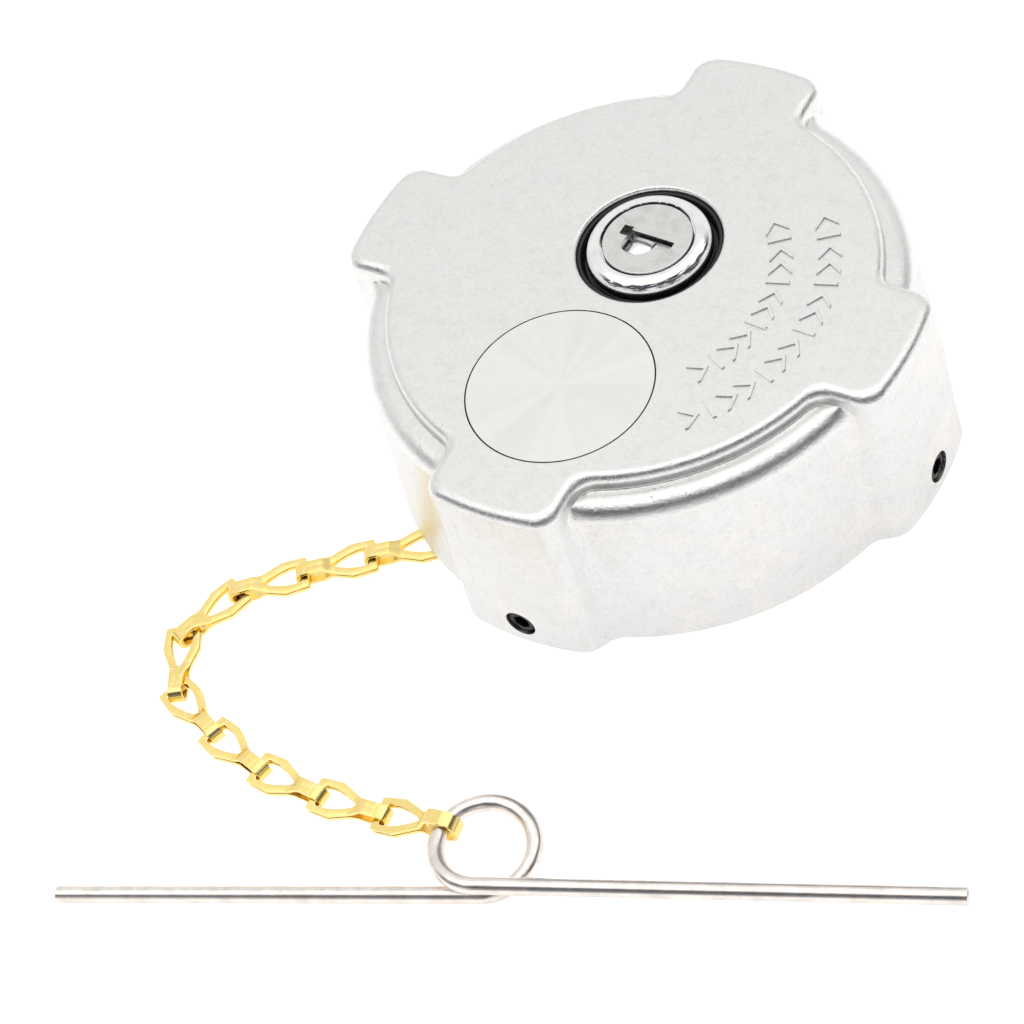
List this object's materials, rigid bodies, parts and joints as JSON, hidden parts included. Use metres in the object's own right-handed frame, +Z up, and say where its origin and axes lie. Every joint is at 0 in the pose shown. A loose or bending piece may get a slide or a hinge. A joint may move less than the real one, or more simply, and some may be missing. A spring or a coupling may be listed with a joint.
{
  "type": "locking fuel tank filler cap",
  "caption": "Round locking filler cap with wrench lugs, a key lock and a cover disc, on a folded-link chain that ends in a bent anti-loss wire.",
  "frame": {"origin": "on the cap's axis, in the plane where the filler neck's lip meets the gasket", "axes": "+Z up out of the cap's top face; the four lugs point along +X, +Y, -X and -Y; the lock is on the +Y side of the axis and the cover disc on the -Y side"},
  "size_m": [0.171, 0.1937, 0.0508],
  "materials": {
    "cast_shell": "satin cast aluminium, edges polished bright",
    "turned_disc": "turned face with faint concentric tool marks",
    "black_screws": "black oxide steel",
    "lock_chrome": "bright chrome plate",
    "lock_satin": "satin chrome plate",
    "zinc_steel": "bright zinc plate",
    "inner_cast": "as-cast aluminium, machined thread",
    "spring_steel": "drawn spring wire",
    "ball_steel": "ground and polished steel",
    "chain_brass": "bright brass with a warm gold lustre",
    "wire_stainless": "bright drawn stainless wire",
    "black_rubber": "matt moulded rubber",
    "white_acetal": "smooth natural acetal"
  },
  "bodies": {
    "root": {"inner_cap": "inner_cast", "neck_gasket": "black_rubber", "gasket_retainer": "zinc_steel", "retainer_rivet_1": "zinc_steel", "retainer_rivet_2": "zinc_steel", "retainer_rivet_3": "zinc_steel", "vent_body": "chain_brass", "vent_spring": "spring_steel"},
    "thrust": {"thrust_washer": "white_acetal", "return_spring": "spring_steel"},
    "shell": {"outer_shell": "cast_shell", "cover_disc": "turned_disc", "set_screw_1": "black_screws", "set_screw_2": "black_screws", "set_screw_3": "black_screws", "set_screw_4": "black_screws", "lock_seal": "black_rubber", "lock_housing": "lock_chrome", "lock_nut": "zinc_steel", "bolt_guide": "zinc_steel"},
    "plug": {"lock_plug": "lock_satin", "lock_cam": "zinc_steel"},
    "shutter": {"keyway_shutter": "lock_chrome"},
    "bolt": {"drive_bolt": "zinc_steel"},
    "vent_ball": {"vent_ball": "ball_steel"},
    "swivel": {"chain_swivel": "chain_brass"},
    "link_01": {"link_01": "chain_brass"},
    "link_02": {"link_02": "chain_brass"},
    "link_03": {"link_03": "chain_brass"},
    "link_04": {"link_04": "chain_brass"},
    "link_05": {"link_05": "chain_brass"},
    "link_06": {"link_06": "chain_brass"},
    "link_07": {"link_07": "chain_brass"},
    "link_08": {"link_08": "chain_brass"},
    "link_09": {"link_09": "chain_brass"},
    "link_10": {"link_10": "chain_brass"},
    "link_11": {"link_11": "chain_brass"},
    "link_12": {"link_12": "chain_brass"},
    "link_13": {"link_13": "chain_brass"},
    "wire": {"retaining_wire": "wire_stainless"}
  },
  "joints": [
    {"name": "shell_turn", "type": "hinge", "parent": "root", "child": "thrust", "pos_m": [0, 0, 0.009], "axis": [0, 0, 1], "continuous": true},
    {"name": "shell_push", "type": "slide", "parent": "thrust", "child": "shell", "axis": [0, 0, -1], "range_m": [0, 0.0015], "stiffness_N_per_m": 9000, "deforming": ["return_spring"]},
    {"name": "key_turn", "type": "hinge", "parent": "shell", "child": "plug", "pos_m": [0, 0.0082, 0.02], "axis": [0, 0, 1], "range_deg": [-90, 0]},
    {"name": "bolt_throw", "type": "slide", "parent": "shell", "child": "bolt", "axis": [0, 1, 0], "range_m": [0, 0.0045]},
    {"name": "shutter_flap", "type": "hinge", "parent": "plug", "child": "shutter", "pos_m": [-0.0015, 0.00494, 0.0249], "axis": [0.9981, -0.061, 0], "range_deg": [-70, 0]},
    {"name": "vent_lift", "type": "slide", "parent": "root", "child": "vent_ball", "axis": [0, 0, 1], "range_m": [0, 0.0015], "deforming": ["vent_spring"]},
    {"name": "swivel_turn", "type": "hinge", "parent": "root", "child": "swivel", "pos_m": [-0.00697, -0.00971, 0], "axis": [0, 0, 1], "continuous": true},
    {"name": "link_01_hinge", "type": "hinge", "parent": "swivel", "child": "link_01", "pos_m": [-0.00697, -0.00971, -0.0073], "axis": [0.8124, -0.5831, 0], "range_deg": [0, 45]},
    {"name": "link_02_hinge", "type": "hinge", "parent": "link_01", "child": "link_02", "pos_m": [-0.0133, -0.01853, -0.01614], "axis": [0.8122, -0.5833, 0.0089], "range_deg": [0, 30]},
    {"name": "link_03_hinge", "type": "hinge", "parent": "link_02", "child": "link_03", "pos_m": [-0.02148, -0.02993, -0.0169], "axis": [0.8122, -0.5833, 0.0089], "range_deg": [0, 30]},
    {"name": "link_04_hinge", "type": "hinge", "parent": "link_03", "child": "link_04", "pos_m": [-0.02947, -0.04106, -0.01764], "axis": [0.5272, -0.8496, -0.0125], "range_deg": [0, 45]},
    {"name": "link_05_hinge", "type": "hinge", "parent": "link_04", "child": "link_05", "pos_m": [-0.04139, -0.04845, -0.01839], "axis": [-0.5709, 0.821, 0.0097], "range_deg": [-45, 45]},
    {"name": "link_06_hinge", "type": "hinge", "parent": "link_05", "child": "link_06", "pos_m": [-0.05292, -0.05645, -0.01915], "axis": [0.5894, -0.8078, -0.0085], "range_deg": [-45, 45]},
    {"name": "link_07_hinge", "type": "hinge", "parent": "link_06", "child": "link_07", "pos_m": [-0.06406, -0.06422, -0.01989], "axis": [-0.9167, 0.3991, -0.0201], "range_deg": [-45, 45]},
    {"name": "link_08_hinge", "type": "hinge", "parent": "link_07", "child": "link_08", "pos_m": [-0.07021, -0.07612, -0.02059], "axis": [0.886, 0.4607, 0.0524], "range_deg": [-15, 15]},
    {"name": "link_09_hinge", "type": "hinge", "parent": "link_08", "child": "link_09", "pos_m": [-0.06444, -0.08829, -0.02084], "axis": [-0.3994, -0.9154, -0.0511], "range_deg": [-45, 45]},
    {"name": "link_10_hinge", "type": "hinge", "parent": "link_09", "child": "link_10", "pos_m": [-0.05157, -0.09393, -0.02056], "axis": [0.2797, 0.9589, 0.0482], "range_deg": [-45, 45]},
    {"name": "link_11_hinge", "type": "hinge", "parent": "link_10", "child": "link_11", "pos_m": [-0.03811, -0.09789, -0.02019], "axis": [-0.0724, -0.9965, -0.0416], "range_deg": [-45, 45]},
    {"name": "link_12_hinge", "type": "hinge", "parent": "link_11", "child": "link_12", "pos_m": [-0.02411, -0.09893, -0.01968], "axis": [-0.0374, 0.9986, 0.0374], "range_deg": [-45, 45]},
    {"name": "link_13_hinge", "type": "hinge", "parent": "link_12", "child": "link_13", "pos_m": [-0.01008, -0.09843, -0.01912], "axis": [0.1052, -0.9939, -0.0346], "range_deg": [-45, 45]},
    {"name": "wire_hinge", "type": "hinge", "parent": "link_13", "child": "wire", "pos_m": [0.00367, -0.09706, -0.01655], "axis": [-0.1052, 0.9939, 0.0346], "range_deg": [-60, 60]}
  ],
  "couplings": [
    {"joint": "bolt_throw", "follows": "key_turn", "m_per_rad": -0.0028648}
  ]
}
